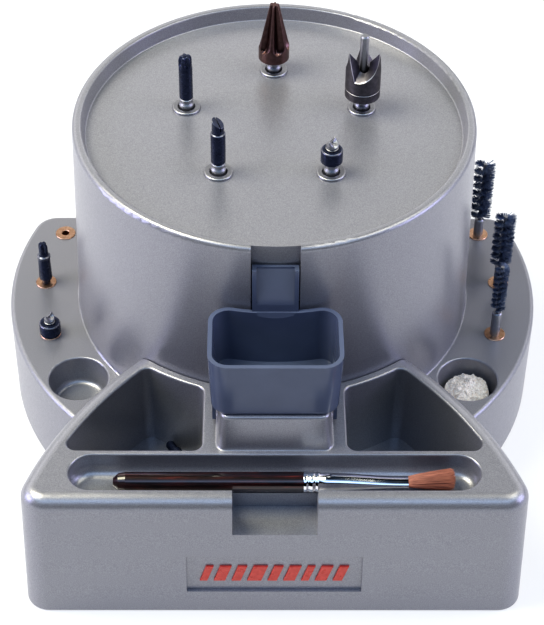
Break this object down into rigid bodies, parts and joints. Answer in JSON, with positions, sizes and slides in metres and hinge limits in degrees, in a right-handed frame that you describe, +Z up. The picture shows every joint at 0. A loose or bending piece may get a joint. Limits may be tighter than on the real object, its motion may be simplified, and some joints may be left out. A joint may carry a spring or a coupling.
{
  "type": "case preparation station",
  "caption": "Bench-top motorised case preparation station: round drum with driven spindles carrying cutters, side wings for spare tools, chip cup and front tray.",
  "frame": {"origin": "middle of the outline, on the surface the feet stand on", "axes": "+Z up, -Y towards the user (tray side), +X to the user's right"},
  "size_m": [0.2652, 0.2671, 0.193],
  "materials": {
    "housing_plastic": "satin silver-grey with fine metallic flake",
    "cup_plastic": "smooth dark blue-grey moulding",
    "base_plastic": "black moulding",
    "rubber": "soft black rubber",
    "steel": "turned bright steel",
    "chrome": "polished plating",
    "copper_alloy": "machined copper-coloured brass",
    "bronze_coating": "glossy brown-bronze coating on steel",
    "black_oxide": "glossy blue-black oxide on steel",
    "gunmetal": "dark hardened steel",
    "gear_nylon": "natural nylon",
    "motor_metal": "black painted motor can",
    "aluminium": "milled aluminium",
    "bristle": "blue-black nylon bristles",
    "lacquer": "dark red lacquered wood",
    "hair": "reddish-brown soft hair",
    "powder": "off-white loose mica powder",
    "badge": "coral red enamel"
  },
  "bodies": {
    "station": {"base_plate": "base_plastic", "front_badge": "badge", "front_tray": "housing_plastic", "gear_plate": "aluminium", "gear_plate_posts": "steel", "gear_plate_screws": "steel", "housing_cover": "housing_plastic", "housing_screws": "steel", "inlet_pins": "steel", "insert_left_front": "copper_alloy", "insert_left_middle": "copper_alloy", "insert_left_rear": "copper_alloy", "insert_right_front": "copper_alloy", "insert_right_middle": "copper_alloy", "insert_right_rear": "copper_alloy", "lower_bushes": "copper_alloy", "mica_powder": "powder", "motor_gearbox": "motor_metal", "motor_screws": "steel", "power_inlet": "base_plastic", "rubber_feet": "rubber", "spindle_bush_back": "steel", "spindle_bush_front_left": "steel", "spindle_bush_front_right": "steel", "spindle_bush_left": "steel", "spindle_bush_right": "steel", "switch_bezel": "base_plastic"},
    "drive": {"sun_pinion": "gear_nylon"},
    "spindle_unit_back": {"spindle_back": "steel", "spindle_gear_back": "gear_nylon", "chamfer_cutter": "bronze_coating"},
    "spindle_unit_right": {"spindle_right": "steel", "spindle_gear_right": "gear_nylon", "deburring_cutter": "gunmetal", "deburring_pilot": "steel"},
    "spindle_unit_front_right": {"spindle_front_right": "steel", "spindle_gear_front_right": "gear_nylon", "uniformer_collar": "black_oxide", "uniformer_bit": "steel"},
    "spindle_unit_front_left": {"spindle_front_left": "steel", "spindle_gear_front_left": "gear_nylon", "large_pocket_reamer": "black_oxide"},
    "spindle_unit_left": {"spindle_left": "steel", "spindle_gear_left": "gear_nylon", "small_pocket_reamer": "black_oxide"},
    "cup_unit": {"chip_cup": "cup_plastic"},
    "cleaning_brush": {"brush_handle": "lacquer", "brush_ferrule": "chrome", "brush_hair": "hair"},
    "stored_reamer_unit": {"stored_reamer": "black_oxide"},
    "stored_uniformer_unit": {"stored_uniformer_collar": "black_oxide", "stored_uniformer_bit": "steel"},
    "neck_brush_rear": {"neck_brush_shank_rear": "steel", "neck_brush_bristles_rear": "bristle"},
    "neck_brush_middle": {"neck_brush_shank_middle": "steel", "neck_brush_bristles_middle": "bristle"},
    "neck_brush_front": {"neck_brush_shank_front": "steel", "neck_brush_bristles_front": "bristle"},
    "spare_reamer_unit": {"spare_reamer": "black_oxide"},
    "rocker_unit": {"power_rocker": "base_plastic"}
  },
  "joints": [
    {"name": "drive_spin", "type": "hinge", "parent": "station", "child": "drive", "pos_m": [0, 0.03644, 0.117], "axis": [0, 0, 1], "continuous": true},
    {"name": "spindle_back_spin", "type": "hinge", "parent": "station", "child": "spindle_unit_back", "pos_m": [0, 0.08044, 0.117], "axis": [0, 0, 1], "continuous": true},
    {"name": "spindle_right_spin", "type": "hinge", "parent": "station", "child": "spindle_unit_right", "pos_m": [0.04185, 0.05004, 0.117], "axis": [0, 0, 1], "continuous": true},
    {"name": "spindle_front_right_spin", "type": "hinge", "parent": "station", "child": "spindle_unit_front_right", "pos_m": [0.02586, 0.00085, 0.117], "axis": [0, 0, 1], "continuous": true},
    {"name": "spindle_front_left_spin", "type": "hinge", "parent": "station", "child": "spindle_unit_front_left", "pos_m": [-0.02586, 0.00085, 0.117], "axis": [0, 0, 1], "continuous": true},
    {"name": "spindle_left_spin", "type": "hinge", "parent": "station", "child": "spindle_unit_left", "pos_m": [-0.04185, 0.05004, 0.117], "axis": [0, 0, 1], "continuous": true},
    {"name": "chip_cup_lift", "type": "slide", "parent": "station", "child": "cup_unit", "axis": [0, 0, 1], "range_m": [0, 0.09]},
    {"name": "cleaning_brush_lift", "type": "slide", "parent": "station", "child": "cleaning_brush", "axis": [0, 0, 1], "range_m": [0, 0.03]},
    {"name": "stored_reamer_lift", "type": "slide", "parent": "station", "child": "stored_reamer_unit", "axis": [0, 0, 1], "range_m": [0, 0.02]},
    {"name": "stored_uniformer_lift", "type": "slide", "parent": "station", "child": "stored_uniformer_unit", "axis": [0, 0, 1], "range_m": [0, 0.02]},
    {"name": "neck_brush_rear_lift", "type": "slide", "parent": "station", "child": "neck_brush_rear", "axis": [0, 0, 1], "range_m": [0, 0.02]},
    {"name": "neck_brush_middle_lift", "type": "slide", "parent": "station", "child": "neck_brush_middle", "axis": [0, 0, 1], "range_m": [0, 0.02]},
    {"name": "neck_brush_front_lift", "type": "slide", "parent": "station", "child": "neck_brush_front", "axis": [0, 0, 1], "range_m": [0, 0.02]},
    {"name": "spare_reamer_lift", "type": "slide", "parent": "station", "child": "spare_reamer_unit", "axis": [0, 0, 1], "range_m": [0, 0.055]},
    {"name": "power_rocker_tilt", "type": "hinge", "parent": "station", "child": "rocker_unit", "pos_m": [-0.097, 0.08694, 0.0265], "axis": [1, 0, 0], "range_deg": [0, 14]}
  ],
  "couplings": [
    {"joint": "spindle_back_spin", "follows": "drive_spin", "ratio": -1.2},
    {"joint": "spindle_right_spin", "follows": "drive_spin", "ratio": -1.2},
    {"joint": "spindle_front_right_spin", "follows": "drive_spin", "ratio": -1.2},
    {"joint": "spindle_front_left_spin", "follows": "drive_spin", "ratio": -1.2},
    {"joint": "spindle_left_spin", "follows": "drive_spin", "ratio": -1.2}
  ]
}
